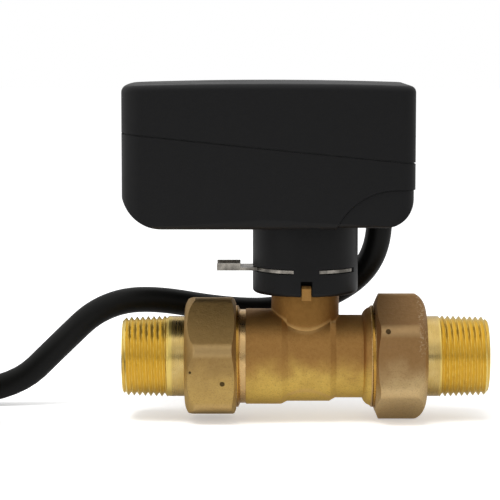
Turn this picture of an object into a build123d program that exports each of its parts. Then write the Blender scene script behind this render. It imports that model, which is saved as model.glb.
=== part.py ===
from build123d import *
from math import acos, asin, atan2, cos, degrees, hypot, pi, radians, sin, sqrt, tan
import os

# A motorized zone valve: a two-way ball valve with union tails, and the geared actuator clipped on it.
# X runs along the ports, Z up the stem, and Y points away from the reader of the front face.
# The origin is where the axis of the ports crosses the axis of the stem. Millimetres.
os.makedirs("parts", exist_ok=True)

# Clearances
running = 0.06          # a shaft in its bearing
loose = 0.3             # between pieces that pass each other
slip = 0.1              # a piece pushed into its seat

# Pipe run
end_to_end = 119.0
tail_thread_radius = 13.22      # three quarter inch pipe thread
tail_thread_length = 14.8
tail_shank_radius = 13.1
tail_bore = 9.5
tail_chamfer = 1.0
tail_reach = 22.5               # from the pipe's end to the tail's collar
collar_radius = 16.5
collar_length = 4.0
nut_length = 16.7
nut_flats = 37.0
nut_corner = 5.0
nut_lip = 2.2                   # the wall that pulls on the collar
nut_shoulder_length = 6.2
nut_shoulder_drop = 7.1
nut_lead_in = 1.5
nut_turn_left = 13.0
nut_turn_right = 32.0
gasket_thickness = 2.0

# Cast body
body_thread_radius = 16.62
body_thread_start = 21.2        # where the thread on the casting starts, from the centre
undercut_radius = 15.3
undercut_length = 1.9
barrel_radius = 15.6            # the wider barrel, on the left
waist_radius = 14.65
waist_left = 5.9
waist_right = 7.85
step_length = 1.9
slim_radius = 13.55             # the slimmer barrel, on the right
slim_flare = 2.6
boss_radius = 11.0
boss_top = 20.8
spigot_radius = 9.8
spigot_top = 34.0
lug_width = 3.0
lug_reach = 16.4
lug_foot = 17.0
lug_top = 24.8

# Ball and stem
ball_radius = 11.4
port_radius = 7.0
seat_radius = 11.9
seat_near = 7.2
seat_far = 10.0
seat_gap = 0.15
retainer_length = 8.0
stem_radius = 4.0
stem_top = 44.0
stem_flats = 5.6
tongue_width = 4.6
tongue_depth = 3.0
tongue_foot = 8.6
ring_section = 0.9
ring_heights = (17.0, 21.5)
gland_radius = 6.0
gland_length = 3.6

# Retaining clip and the slot that it lies in
clip_height = 29.3
clip_thickness = 1.0
clip_tab = 28.7                 # reach of the pull tab from the stem axis
clip_tab_width = 12.0
clip_fold = 2.3
clip_fold_length = 7.6
clip_post = 3.2                 # the web of the neck between the clip's open ends
clip_radius = 16.8
clip_half = 16.3

# Casing
casing_left = -59.0
casing_right = 34.0
casing_bottom = 43.9
casing_top = 88.8
crown = 0.8
casing_depth = 58.0
front_bow = 1.6
end_bow = 1.0
wall = 2.2
plan_corner_left = 7.0
plan_corner_right = 5.0
bottom_corner_left = 14.0
bottom_corner_right = 10.0
rim_round = 2.2
foot_round = 3.4
joint_height = 69.3             # height of the joint line above the middle of the front
joint_middle = -12.5
joint_fall = 5.8                # degrees
joint_gap = 0.5
neck_radius = 17.1
neck_bottom = 21.3
neck_round = 1.2
core_inner = 9.6
core_outer = 14.6
core_floor = 36.5
notch_width = 3.7
notch_top = 26.4
seal_inset = 0.7
seal_width = 1.2

# Cable cover at the lower right corner
arc_radius = 21.0
arc_x = 28.0
arc_z = 35.3
cover_inset = 0.5
cover_wall = 2.0
cover_gap = 0.15
rim_reach = 2.0
rim_wall = 1.2
saddle_height = 51.8
saddle_width = 17.0
saddle_length = 6.5
grommet_radius = 6.0
grommet_top = 48.3
clamp_left = 19.5
clamp_length = 14.9
clamp_screw_y = 6.4             # from the cable's axis to the screw, and to the tongue on the other side
clamp_tongue_y = 5.65

# Gear train
tooth_module = 1.0
pressure_angle = 20.0
output_teeth = 40
wheel_teeth = 30
pinion_teeth = 12
wheel_addendum = 0.75
pinion_addendum = 0.9
dedendum = 1.1
backlash = 0.16
gear_foot = 51.0
gear_face = 4.4
wheel_foot = 56.4
wheel_face = 3.4
idler_direction = 170.0
motor_direction = 230.0
axle_radius = 1.5
shaft_radius = 7.0
hub_radius = 5.0

# Plates, motor, cams and switches
plate_thickness = 1.6
gear_plate_foot = 48.6
bearing_plate_foot = 62.0
plate_left = -48.5
plate_right = 14.5
bearing_plate_right = 21.2
plate_half = 21.0
pillar_radius = 1.6
motor_gap = 1.23                # between the motor and the casing's inner face
motor_height = 15.0
motor_ear_reach = 3.5
cam_radius = 7.2
cam_offset = 1.6
cam_face = 4.6
cam_low = 64.0
cam_high = 69.6
cam_seat_radius = 4.5           # the end of the hub that carries the cams
cam_seat_flats = 7.0
hub_top = 75.5
lever_length = 17.0
lever_arm = 13.0
lever_hinge_x = 7.9
lever_hinge_y = 13.0
lever_pin = 0.5
lever_thickness = 0.5
lever_gap = 0.35
switch_left = 10.6
switch_width = 10.0
switch_length = 22.0
switch_height = 5.4
switch_low = 63.6
switch_high = 69.2

# Board
board_length = 60.0
board_height = 19.0
board_thickness = 1.6
board_face = 18.5
board_gap = 1.2                 # between the board's end and the casing's inner face
board_foot = 63.6
block_left = 21.0
block_right = 31.2
block_front = 6.6
block_foot = 66.0
block_top = 75.0

# Cable
cable_radius = 4.3
exit_x = 24.9
exit_inset = 15.0               # from the casing's back to the cable's axis
jacket_end = 59.0
core_count = 5
core_radius = 0.8
core_ring = 2.2
core_length = 22.0
ferrule_length = 6.0
floor_level = -20.59            # the lowest corner of the right nut
coil_outer = 44.8
coil_pitch = 9.2
coil_rise = 9.2
coil_x = -149.0
turns_in = 1.0
turns_climb = 0.5
turns_over = 0.5

# Values that follow from the ones above
half_run = end_to_end / 2
thread_inner = half_run - tail_thread_length
collar_outer = half_run - tail_reach
collar_inner = collar_outer - collar_length
body_end = collar_inner - gasket_thickness
nut_outer = collar_outer + nut_lip
nut_inner = nut_outer - nut_length
nut_bore = body_thread_radius + loose
nut_circle = nut_flats / 2 / cos(radians(30))
groove_radius = spigot_radius - 2.0
slot_height = clip_thickness + 2 * loose
slot_half = neck_radius - 0.5
gear_plate_top = gear_plate_foot + plate_thickness
bearing_plate_top = bearing_plate_foot + plate_thickness
idler_reach = tooth_module * (output_teeth + pinion_teeth) / 2
idler_x = idler_reach * cos(radians(idler_direction))
idler_y = idler_reach * sin(radians(idler_direction))
motor_reach = tooth_module * (wheel_teeth + pinion_teeth) / 2
motor_x = idler_x + motor_reach * cos(radians(motor_direction))
motor_y = idler_y + motor_reach * sin(radians(motor_direction))
motor_radius = casing_depth / 2 - wall - motor_gap - abs(motor_y)
motor_ear = motor_radius + motor_ear_reach
cable_lay = floor_level + cable_radius
exit_y = casing_depth / 2 - exit_inset
board_right = casing_right - wall - board_gap
board_left = board_right - board_length
coil_back = 25.0                # the cable reaches the coil along this line
coil_y = coil_back - coil_outer


def save(piece, name):
    """Label a finished piece and write it under its own name."""
    piece.part.label = name
    export_step(piece.part, f"parts/{name}.step")


def ring(outer, inner, low, high, plane=Plane.XY):
    """A plain ring between two heights of a plane."""
    with BuildPart() as piece:
        with BuildSketch(plane.offset(low)):
            Circle(outer)
            Circle(inner, mode=Mode.SUBTRACT)
        extrude(amount=high - low)
    return piece.part


# Cast brass body, turned about the ports
with BuildPart() as valve_body:
    with BuildSketch(Plane.XZ):
        with BuildLine():
            flare_foot = body_thread_start - slim_flare
            Polyline(
                (-body_end, 0), (-body_end, body_thread_radius - 0.8), (-body_end + 0.8, body_thread_radius),
                (-body_thread_start - 0.6, body_thread_radius), (-body_thread_start, undercut_radius),
                (-body_thread_start + undercut_length, undercut_radius),
                (-body_thread_start + undercut_length, barrel_radius),
                (-waist_left - step_length, barrel_radius), (-waist_left, waist_radius),
                (waist_right, waist_radius), (waist_right + step_length, slim_radius),
                (flare_foot, slim_radius),
            )
            RadiusArc(
                (flare_foot, slim_radius), (body_thread_start - 0.3, body_thread_radius - 0.6), slim_flare * 1.3
            )
            Polyline(
                (body_thread_start - 0.3, body_thread_radius - 0.6), (body_thread_start + 0.3, body_thread_radius),
                (body_end - 0.8, body_thread_radius), (body_end, body_thread_radius - 0.8), (body_end, 0),
                (-body_end, 0),
            )
        make_face()
    revolve(axis=Axis.X)
    with BuildSketch(Plane.XY):
        Circle(boss_radius)
    extrude(amount=boss_top)
    with BuildSketch(Plane.XY.offset(boss_top)):
        Circle(spigot_radius)
    extrude(amount=spigot_top - boss_top)
    chamfer(valve_body.edges().filter_by(GeomType.CIRCLE).sort_by(Axis.Z)[-1], 0.8)
    with BuildSketch(Plane.XY.offset(clip_height - slot_height / 2)):
        Circle(spigot_radius + 1)
        Circle(groove_radius, mode=Mode.SUBTRACT)
    extrude(amount=slot_height, mode=Mode.SUBTRACT)
    with BuildSketch(Plane.YZ.offset(-lug_width / 2)):
        with BuildLine():
            Polyline(
                (-boss_radius + 1, lug_foot - 3), (-lug_reach + 2.5, lug_foot), (-lug_reach, lug_foot + 2.5),
                (-lug_reach, lug_top - 0.8), (-lug_reach + 0.8, lug_top), (-boss_radius - 2.6, lug_top),
                (-boss_radius - 2.6, boss_top - 1.2), (-boss_radius + 1, boss_top - 1.2),
                (-boss_radius + 1, lug_foot - 3),
            )
        make_face()
    extrude(amount=lug_width)
    with BuildSketch(Plane.XZ):
        with BuildLine():
            Polyline(
                (-body_end - 1, 0), (-body_end - 1, seat_radius + slip), (seat_far + slip, seat_radius + slip),
                (seat_far + slip, port_radius + 1), (body_end - 8, port_radius + 1), (body_end + 1, tail_bore + 0.4),
                (body_end + 1, 0), (-body_end - 1, 0),
            )
        make_face()
    revolve(axis=Axis.X, mode=Mode.SUBTRACT)
    with BuildSketch(Plane.XY):
        Circle(stem_radius + running)
    extrude(amount=spigot_top + 1, mode=Mode.SUBTRACT)
    with BuildSketch(Plane.XY.offset(spigot_top - gland_length)):
        Circle(gland_radius + slip)
    extrude(amount=gland_length + 1, mode=Mode.SUBTRACT)
    for height in ring_heights:
        with BuildSketch(Plane.XY.offset(height - ring_section - 0.1)):
            Circle(stem_radius + ring_section)
        extrude(amount=2 * ring_section + 0.2, mode=Mode.SUBTRACT)
save(valve_body, "valve_body")


def seat(side):
    """A soft ring that bears on the ball, hollowed to the ball's curve."""
    with BuildPart() as piece:
        with BuildSketch(Plane.XZ):
            with Locations((side * (seat_near + seat_far) / 2, (seat_radius + port_radius + 0.6) / 2)):
                Rectangle(seat_far - seat_near, seat_radius - port_radius - 0.6)
            Circle(ball_radius + seat_gap, mode=Mode.SUBTRACT)
        revolve(axis=Axis.X)
    return piece


save(seat(-1), "seat_left")
save(seat(1), "seat_right")

# Threaded ring that holds the left seat against the ball, with two key slots
with BuildPart() as seat_retainer:
    with BuildSketch(Plane.YZ.offset(-seat_far - retainer_length)):
        Circle(seat_radius)
        Circle(port_radius + 0.6, mode=Mode.SUBTRACT)
    extrude(amount=retainer_length)
    with BuildSketch(Plane.YZ.offset(-seat_far - retainer_length)):
        Rectangle(2 * seat_radius, 2.4)
    extrude(amount=1.6, mode=Mode.SUBTRACT)
save(seat_retainer, "seat_retainer")

# Ball with its waterway and the slot for the stem's tongue
with BuildPart() as ball:
    Sphere(ball_radius)
    with BuildSketch(Plane.YZ.offset(-ball_radius)):
        Circle(port_radius)
    extrude(amount=2 * ball_radius, mode=Mode.SUBTRACT)
    with BuildSketch(Plane.XY.offset(tongue_foot - slip)):
        Rectangle(tongue_width + 2 * slip, 2 * ball_radius)
    extrude(amount=ball_radius, mode=Mode.SUBTRACT)
save(ball, "ball")

# Stem with its tongue, its collar, two ring grooves and a driving end with two flats
with BuildPart() as stem:
    with BuildSketch(Plane.XY.offset(tongue_foot)):
        Rectangle(tongue_width, 2 * stem_radius)
        Circle(stem_radius - 0.1, mode=Mode.INTERSECT)
    extrude(amount=tongue_depth + 0.4)
    with BuildSketch(Plane.XY.offset(tongue_foot + tongue_depth)):
        Circle(stem_radius)
    extrude(amount=stem_top - tongue_foot - tongue_depth)
    for height in ring_heights:
        with BuildSketch(Plane.XY.offset(height - ring_section)):
            Circle(stem_radius + 1)
            Circle(stem_radius - ring_section, mode=Mode.SUBTRACT)
        extrude(amount=2 * ring_section, mode=Mode.SUBTRACT)
    with BuildSketch(Plane.XY.offset(spigot_top + 2)):
        Circle(stem_radius + 1)
        Rectangle(2 * stem_radius + 4, stem_flats, mode=Mode.SUBTRACT)
    extrude(amount=stem_top - spigot_top, mode=Mode.SUBTRACT)
save(stem, "stem")

# Two soft rings round the stem
with BuildPart() as stem_orings:
    for height in ring_heights:
        with BuildSketch(Plane.XZ):
            with Locations((stem_radius - 0.02, height)):
                Circle(ring_section - 0.06)
        revolve(axis=Axis.Z)
save(stem_orings, "stem_orings")

# Bush at the top of the spigot, round the stem
with BuildPart() as gland_bush:
    add(ring(gland_radius, stem_radius + running, spigot_top - gland_length, spigot_top - 0.2))
save(gland_bush, "gland_bush")


def union_nut(side, turn):
    """A hexagon nut on its side: a convex outer shoulder, a lead-in inside and a lip behind the collar."""
    plane = Plane(origin=(side * nut_inner, 0, 0), x_dir=(0, 1, 0), z_dir=(side, 0, 0))
    with BuildPart() as piece:
        with BuildSketch(plane):
            RegularPolygon(nut_circle, 6, rotation=side * turn)
        extrude(amount=nut_length)
        fillet(piece.edges().filter_by(Axis.X), nut_corner)
        top = nut_circle + 1
        with BuildSketch(Plane.XZ):
            with BuildLine():
                inner, outer = side * nut_inner, side * nut_outer
                foot = nut_circle - nut_shoulder_drop
                Polyline(
                    (inner, 0), (inner, nut_bore + 0.4), (inner + side * nut_lead_in, nut_circle - 0.6),
                    (inner + side * nut_lead_in, top), (outer - side * nut_shoulder_length, top),
                    (outer - side * nut_shoulder_length, nut_circle - 0.2),
                )
                TangentArc(
                    (outer - side * nut_shoulder_length, nut_circle - 0.2), (outer, foot), tangent=(side, 0)
                )
                Polyline((outer, foot), (outer, 0), (inner, 0))
            make_face()
        revolve(axis=Axis.X, mode=Mode.INTERSECT)
        with BuildSketch(plane):
            Circle(nut_bore)
        extrude(amount=nut_length - nut_lip + 0.2, mode=Mode.SUBTRACT)
        with BuildSketch(plane):
            Circle(tail_shank_radius + loose)
        extrude(amount=nut_length, mode=Mode.SUBTRACT)
    return piece


save(union_nut(-1, nut_turn_left), "union_nut_left")
save(union_nut(1, nut_turn_right), "union_nut_right")


def tailpiece(side):
    """A turned tail: the collar that the nut pulls on, a plain shank and the zone of the pipe thread."""
    with BuildPart() as piece:
        with BuildSketch(Plane.XZ):
            with BuildLine():
                relief = thread_inner - 0.6
                Polyline(
                    (side * collar_inner, tail_bore), (side * collar_inner, collar_radius),
                    (side * (collar_outer - slip), collar_radius), (side * (collar_outer - slip), tail_shank_radius),
                    (side * relief, tail_shank_radius), (side * thread_inner, tail_thread_radius),
                    (side * (half_run - tail_chamfer), tail_thread_radius),
                    (side * half_run, tail_thread_radius - tail_chamfer),
                    (side * half_run, tail_bore + 0.5), (side * (half_run - 0.5), tail_bore),
                    (side * collar_inner, tail_bore),
                )
            make_face()
        revolve(axis=Axis.X)
    return piece


save(tailpiece(-1), "tailpiece_left")
save(tailpiece(1), "tailpiece_right")

for side, name in ((-1, "union_gasket_left"), (1, "union_gasket_right")):
    with BuildPart() as gasket:
        low = min(side * body_end, side * collar_inner)
        add(ring(seat_radius + 3.4, tail_bore + 0.6, low, low + gasket_thickness, Plane.YZ))
    save(gasket, name)


def plan_outline(inset):
    """The casing seen from above: bowed long sides, a bowed left end and rounded corners."""
    left, right = casing_left + inset, casing_right - inset
    half = casing_depth / 2 - inset
    middle = (left + right) / 2
    with BuildSketch(Plane.XY.offset(casing_bottom - 1)) as outline:
        with BuildLine():
            ThreePointArc(
                (left + end_bow, -half + front_bow), (middle, -half), (right, -half + front_bow)
            )
            Line((right, -half + front_bow), (right, half - front_bow))
            ThreePointArc((right, half - front_bow), (middle, half), (left + end_bow, half - front_bow))
            ThreePointArc((left + end_bow, half - front_bow), (left, 0), (left + end_bow, -half + front_bow))
        make_face()
        corners = outline.vertices().sort_by(Axis.X)
        fillet(corners[:2], plan_corner_left - inset)
        fillet(outline.vertices().filter_by(lambda v: v.X > right - 0.5), plan_corner_right - inset)
    return outline.sketch


def side_outline(inset):
    """The casing seen from the front: a crowned top and two rounded corners of different size below."""
    left, right = casing_left + inset, casing_right - inset
    low, high = casing_bottom + inset, casing_top - inset
    with BuildSketch(Plane.XZ.offset(-casing_depth)) as outline:
        with BuildLine():
            Polyline((left, high), (left, low), (right, low), (right, high))
            ThreePointArc((right, high), ((left + right) / 2, high + crown), (left, high))
        make_face()
        for x, size in ((left, bottom_corner_left), (right, bottom_corner_right)):
            fillet(outline.vertices().sort_by_distance((x, low, 0))[0], size - inset)
    return outline.sketch


def end_outline(inset):
    """The casing seen from an end: both lower long edges rounded."""
    low, half = casing_bottom + inset, casing_depth / 2 - inset
    with BuildSketch(Plane.YZ.offset(casing_left - 5)) as outline:
        with Locations((0, (low + casing_top) / 2 + 5)):
            Rectangle(2 * half, casing_top + 10 - low)
        fillet(outline.vertices().sort_by(Axis.Y)[:2], max(foot_round - inset, 0.4))
    return outline.sketch


def casing_form(inset):
    """The casing's outer form, or the same form drawn in by a wall."""
    with BuildPart() as form:
        extrude(plan_outline(inset), amount=casing_top - casing_bottom + 4, dir=(0, 0, 1))
        extrude(side_outline(inset), amount=2 * casing_depth, dir=(0, -1, 0), mode=Mode.INTERSECT)
        extrude(end_outline(inset), amount=casing_right - casing_left + 10, dir=(1, 0, 0), mode=Mode.INTERSECT)
        rim = [
            e for e in form.edges()
            if e.center().Z > casing_top - inset - 0.5 and hypot(e.center().X - joint_middle, e.center().Y) > 20
        ]
        fillet(rim, max(rim_round - inset, 0.6))
    return form.part


def joint_plane(rise):
    """The slanted plane of the joint line, raised by a distance."""
    lean = radians(joint_fall)
    middle = (joint_middle + rise * sin(lean), 0, joint_height + rise * cos(lean))
    return Plane(origin=middle, x_dir=(cos(lean), 0, -sin(lean)), z_dir=(sin(lean), 0, cos(lean)))


def corner_form(offset):
    """The lower right corner that the cable cover fills, grown by a distance."""
    with BuildPart() as form:
        with BuildSketch(Plane.XZ.offset(-casing_depth)):
            with BuildLine():
                reach = arc_radius + offset
                low = casing_bottom - 0.2
                start_x = arc_x - sqrt(reach**2 - (low - arc_z) ** 2)
                turn = 0.5 * (pi / 2 + acos((arc_x - start_x) / reach))
                Line((casing_right + 5, low), (start_x, low))
                ThreePointArc(
                    (start_x, low), (arc_x - reach * cos(turn), arc_z + reach * sin(turn)), (arc_x, arc_z + reach)
                )
                Polyline((arc_x, arc_z + reach), (casing_right + 5, arc_z + reach), (casing_right + 5, low))
            make_face()
        extrude(amount=2 * casing_depth)
    return form.part


outer_form = casing_form(0)
inner_form = casing_form(wall)
screw_places = ((-52.0, -24.0), (-52.0, 24.0), (2.0, -25.0), (2.0, 25.0))
screw_column = 3.6
screw_radius = 1.4
head_radius = 2.4
head_sink = 50.5
screw_tip = 79.0
pillar_places = ((-46.0, -18.6), (-46.0, 18.6), (12.6, -19.0), (12.6, 19.0))
foot_places = ((-40.0, -17.5), (-40.0, 17.5), (3.0, -19.2), (3.0, 19.2))


def pins(places, radius, low, high):
    """Round pins of one size, one at each place."""
    with BuildPart() as piece:
        with BuildSketch(Plane.XY.offset(low)):
            with Locations(*places):
                Circle(radius)
        extrude(amount=high - low)
    return piece.part


# Lower casing: a moulded shell with its neck, screw columns and feet for the gear plate
with BuildPart() as base_housing:
    add(outer_form)
    add(inner_form, mode=Mode.SUBTRACT)
    with BuildSketch(Plane.XY.offset(casing_bottom + wall - 0.2)):
        with Locations(*foot_places):
            Circle(2.2)
    extrude(amount=gear_plate_foot - casing_bottom - wall + 0.2)
    add(pins(screw_places, screw_column, casing_bottom + 0.6, casing_top - 1))
    add(outer_form, mode=Mode.INTERSECT)
    split(bisect_by=joint_plane(-joint_gap / 2), keep=Keep.BOTTOM)
    with BuildSketch(Plane.XY.offset(neck_bottom)):
        Circle(neck_radius)
    extrude(amount=casing_bottom + wall - neck_bottom)
    fillet(base_housing.edges().filter_by(GeomType.CIRCLE).sort_by(Axis.Z)[0], neck_round)
    with BuildSketch(Plane.XY.offset(neck_bottom - 1)):
        Circle(spigot_radius + slip)
    extrude(amount=spigot_top + loose - neck_bottom + 1, mode=Mode.SUBTRACT)
    with BuildSketch(Plane.XY.offset(neck_bottom)):
        Circle(shaft_radius + running)
    extrude(amount=casing_bottom, mode=Mode.SUBTRACT)
    with BuildSketch(Plane.XY.offset(core_floor)):
        Circle(core_outer)
        Circle(core_inner, mode=Mode.SUBTRACT)
    extrude(amount=casing_bottom + wall - core_floor, mode=Mode.SUBTRACT)
    with BuildSketch(Plane.XY.offset(clip_height - slot_height / 2)):
        Rectangle(2 * neck_radius + 2, 2 * slot_half)
        with Locations((groove_radius + loose + clip_post + 5, 0)):
            Rectangle(10, 2 * groove_radius - 1, mode=Mode.SUBTRACT)
    extrude(amount=slot_height, mode=Mode.SUBTRACT)
    with BuildSketch(Plane.XZ.offset(spigot_radius + 1)):
        with Locations((0, (notch_top + neck_bottom) / 2 - 1)):
            Rectangle(notch_width, notch_top - neck_bottom + 2)
    extrude(amount=neck_radius, mode=Mode.SUBTRACT)
    add(corner_form(0), mode=Mode.SUBTRACT)
    add(pins(foot_places, 1.0, gear_plate_foot - 3.6, gear_plate_foot + 1), mode=Mode.SUBTRACT)
    add(pins(screw_places, screw_radius + loose, casing_bottom - 1, casing_top), mode=Mode.SUBTRACT)
    add(pins(screw_places, head_radius + loose, casing_bottom - 1, head_sink), mode=Mode.SUBTRACT)
save(base_housing, "base_housing")

# Upper casing: the lid, with blind screw bosses
with BuildPart() as top_cover:
    add(outer_form)
    add(inner_form, mode=Mode.SUBTRACT)
    add(pins(screw_places, screw_column, casing_bottom, casing_top))
    add(outer_form, mode=Mode.INTERSECT)
    split(bisect_by=joint_plane(joint_gap / 2), keep=Keep.TOP)
    add(pins(screw_places, screw_radius, casing_bottom, screw_tip + 1), mode=Mode.SUBTRACT)
save(top_cover, "top_cover")

# Soft seal pressed between the two casings
with BuildPart() as casing_seal:
    add(casing_form(seal_inset))
    add(casing_form(seal_inset + seal_width), mode=Mode.SUBTRACT)
    split(bisect_by=joint_plane(joint_gap / 2), keep=Keep.BOTTOM)
    split(bisect_by=joint_plane(-joint_gap / 2), keep=Keep.TOP)
save(casing_seal, "casing_seal")

# Four casing screws from below
with BuildPart() as casing_screws:
    add(pins(screw_places, screw_radius - slip / 2, head_sink, screw_tip))
    with BuildSketch(Plane.XY.offset(head_sink - 1.8)):
        with Locations(*screw_places):
            Circle(head_radius)
            RegularPolygon(1.2, 6, mode=Mode.SUBTRACT)
    extrude(amount=1.8)
save(casing_screws, "casing_screws")


def plate(low, right, holes, sunk=None):
    """A flat plate with round holes given as (place, radius), some of them sunk for a screw head."""
    with BuildPart() as piece:
        with BuildSketch(Plane.XY.offset(low)) as outline:
            with Locations(((plate_left + right) / 2, 0)):
                Rectangle(right - plate_left, 2 * plate_half)
            fillet(outline.vertices(), 3.0)
            for place, radius in holes:
                with Locations(place):
                    Circle(radius, mode=Mode.SUBTRACT)
        extrude(amount=plate_thickness)
        if sunk:
            add(pins(sunk, 2.2, low + plate_thickness - 0.9, low + plate_thickness), mode=Mode.SUBTRACT)
    return piece


def gear_outline(teeth, addendum, tooth_at, centre, low):
    """Involute teeth on a circle: flanks as arcs through three points of the involute."""
    pitch_radius = tooth_module * teeth / 2
    base = pitch_radius * cos(radians(pressure_angle))
    tip = pitch_radius + addendum
    root = pitch_radius - dedendum
    start = max(base, root)
    roll = tan(radians(pressure_angle)) - radians(pressure_angle)

    def half_angle(radius):
        lean = acos(min(1.0, base / radius))
        return (pi / 2 - backlash / tooth_module) / teeth + roll - (tan(lean) - lean)

    def point(radius, angle):
        return (centre[0] + radius * cos(angle), centre[1] + radius * sin(angle))

    with BuildSketch(Plane.XY.offset(low)) as outline:
        with BuildLine():
            for k in range(teeth):
                axis = radians(tooth_at) + 2 * pi * k / teeth
                next_axis = axis + 2 * pi / teeth
                rise = [point(r, axis - half_angle(r)) for r in (start, (start + tip) / 2, tip)]
                fall = [point(r, axis + half_angle(r)) for r in (tip, (start + tip) / 2, start)]
                foot = point(root, axis - half_angle(start))
                end = point(root, axis + half_angle(start))
                if start > root:
                    Line(foot, rise[0])
                ThreePointArc(*rise)
                ThreePointArc(rise[2], point(tip, axis), fall[0])
                ThreePointArc(*fall)
                if start > root:
                    Line(fall[2], end)
                ThreePointArc(
                    end, point(root, (axis + next_axis) / 2), point(root, next_axis - half_angle(start))
                )
        make_face()
    return outline.sketch


idler = (idler_x, idler_y)
motor = (motor_x, motor_y)
motor_ears = [
    (motor_x + motor_ear * cos(radians(a)), motor_y + motor_ear * sin(radians(a))) for a in (-15, 105)
]
switch_holes = ((15.6, -4.0), (15.6, 9.0))
bracket_places = ((-26.0, 15.0), (15.6, 16.4))

# Plate that carries the gear train, and the plate above it
gear_plate = plate(
    gear_plate_foot, plate_right,
    [((0, 0), shaft_radius + loose), (idler, axle_radius + slip / 2)]
    + [(place, 1.05) for place in pillar_places] + [(place, 1.3) for place in foot_places],
    foot_places,
)
save(gear_plate, "gear_plate")

bearing_plate = plate(
    bearing_plate_foot, bearing_plate_right,
    [((0, 0), hub_radius + running), (idler, axle_radius + slip / 2), (motor, 2.4)]
    + [(place, 1.05) for place in pillar_places] + [(place, 1.1) for place in motor_ears]
    + [(place, 1.1) for place in switch_holes] + [(place, 1.05) for place in bracket_places],
)
save(bearing_plate, "bearing_plate")

# Four pillars with riveted ends hold the two plates apart
with BuildPart() as plate_pillars:
    add(pins(pillar_places, pillar_radius, gear_plate_top, bearing_plate_foot))
    add(pins(pillar_places, 1.0, gear_plate_foot, bearing_plate_top))
save(plate_pillars, "plate_pillars")

# Screws that hold the gear plate to the casing's feet, sunk level with it
with BuildPart() as plate_screws:
    add(pins(foot_places, 0.95, gear_plate_foot - 3.4, gear_plate_top - 0.85))
    add(pins(foot_places, 2.0, gear_plate_top - 0.85, gear_plate_top - 0.05))
save(plate_screws, "plate_screws")

# Output gear: the big wheel, the shaft down to the stem and the hub up to the cams
with BuildPart() as output_gear:
    add(gear_outline(output_teeth, wheel_addendum, idler_direction, (0, 0), gear_foot))
    extrude(amount=gear_face)
    with BuildSketch(Plane.XY.offset(gear_foot + gear_face - 1.2)):
        Circle(17.0)
        Circle(8.5, mode=Mode.SUBTRACT)
    extrude(amount=2, mode=Mode.SUBTRACT)
    add(pins([(0, 0)], shaft_radius, spigot_top + 2.3, gear_foot + 1))
    add(pins([(0, 0)], hub_radius, gear_foot + 1, bearing_plate_top + 0.3))
    with BuildSketch(Plane.XY.offset(bearing_plate_top)):
        Circle(cam_seat_radius)
        Rectangle(2 * cam_seat_radius, cam_seat_flats, mode=Mode.INTERSECT)
    extrude(amount=hub_top - bearing_plate_top)
    with BuildSketch(Plane.XY.offset(spigot_top)):
        Circle(stem_radius + slip)
        Rectangle(2 * stem_radius + 2, stem_flats + 2 * slip, mode=Mode.INTERSECT)
    extrude(amount=stem_top + loose - spigot_top, mode=Mode.SUBTRACT)
save(output_gear, "output_gear")

# Reduction gear: a pinion and a wheel in one moulding, on a fixed axle
with BuildPart() as reduction_gear:
    add(gear_outline(pinion_teeth, pinion_addendum, idler_direction + 180 + 180 / pinion_teeth, idler, gear_foot - 0.1))
    extrude(amount=wheel_foot - gear_foot + 0.1)
    add(gear_outline(wheel_teeth, wheel_addendum, motor_direction, idler, wheel_foot))
    extrude(amount=wheel_face)
    add(pins([idler], 3.2, wheel_foot + wheel_face, bearing_plate_foot - loose))
    add(pins([idler], axle_radius + running, gear_foot - 1, bearing_plate_foot), mode=Mode.SUBTRACT)
save(reduction_gear, "reduction_gear")

with BuildPart() as gear_axle:
    add(pins([idler], axle_radius, gear_plate_foot, bearing_plate_top))
save(gear_axle, "gear_axle")

with BuildPart() as motor_pinion:
    add(gear_outline(pinion_teeth, pinion_addendum, motor_direction + 180 + 180 / pinion_teeth, motor, wheel_foot - 0.4))
    extrude(amount=gear_face)
    add(pins([motor], axle_radius, wheel_foot, bearing_plate_top + 8))
save(motor_pinion, "motor_pinion")

# Geared motor: a flat can with a rim, two ears and a bore for the pinion's shaft
with BuildPart() as gear_motor:
    add(pins([motor], motor_radius, bearing_plate_top, bearing_plate_top + motor_height))
    fillet(gear_motor.edges().filter_by(GeomType.CIRCLE).sort_by(Axis.Z)[-1], 1.0)
    with BuildSketch(Plane.XY.offset(bearing_plate_top)):
        for place in motor_ears:
            with Locations(place):
                Circle(3.0)
            with Locations(((place[0] + motor_x) / 2, (place[1] + motor_y) / 2)):
                Rectangle(motor_ear, 6.0, rotation=degrees(atan2(place[1] - motor_y, place[0] - motor_x)))
    extrude(amount=1.2)
    add(pins(motor_ears, 1.2, bearing_plate_top - 1, bearing_plate_top + 2), mode=Mode.SUBTRACT)
    add(pins([motor], axle_radius + running, bearing_plate_top - 1, bearing_plate_top + 8.4), mode=Mode.SUBTRACT)
save(gear_motor, "gear_motor")

with BuildPart() as motor_screws:
    add(pins(motor_ears, 1.0, bearing_plate_foot, bearing_plate_top + 1.3))
    add(pins(motor_ears, 2.0, bearing_plate_top + 1.25, bearing_plate_top + 2.6))
save(motor_screws, "motor_screws")


def cam(direction, low):
    """An eccentric disc that slides over the flats of the hub."""
    with BuildPart() as piece:
        with BuildSketch(Plane.XY.offset(low)):
            with Locations((cam_offset * cos(radians(direction)), cam_offset * sin(radians(direction)))):
                Circle(cam_radius)
        extrude(amount=cam_face)
        with BuildSketch(Plane.XY.offset(low - 1)):
            Circle(cam_seat_radius + slip / 2)
            Rectangle(2 * cam_seat_radius + 2, cam_seat_flats + slip, mode=Mode.INTERSECT)
        extrude(amount=cam_face + 2, mode=Mode.SUBTRACT)
    return piece


save(cam(135, cam_low), "cam_closed")
save(cam(-45, cam_high), "cam_open")


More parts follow.
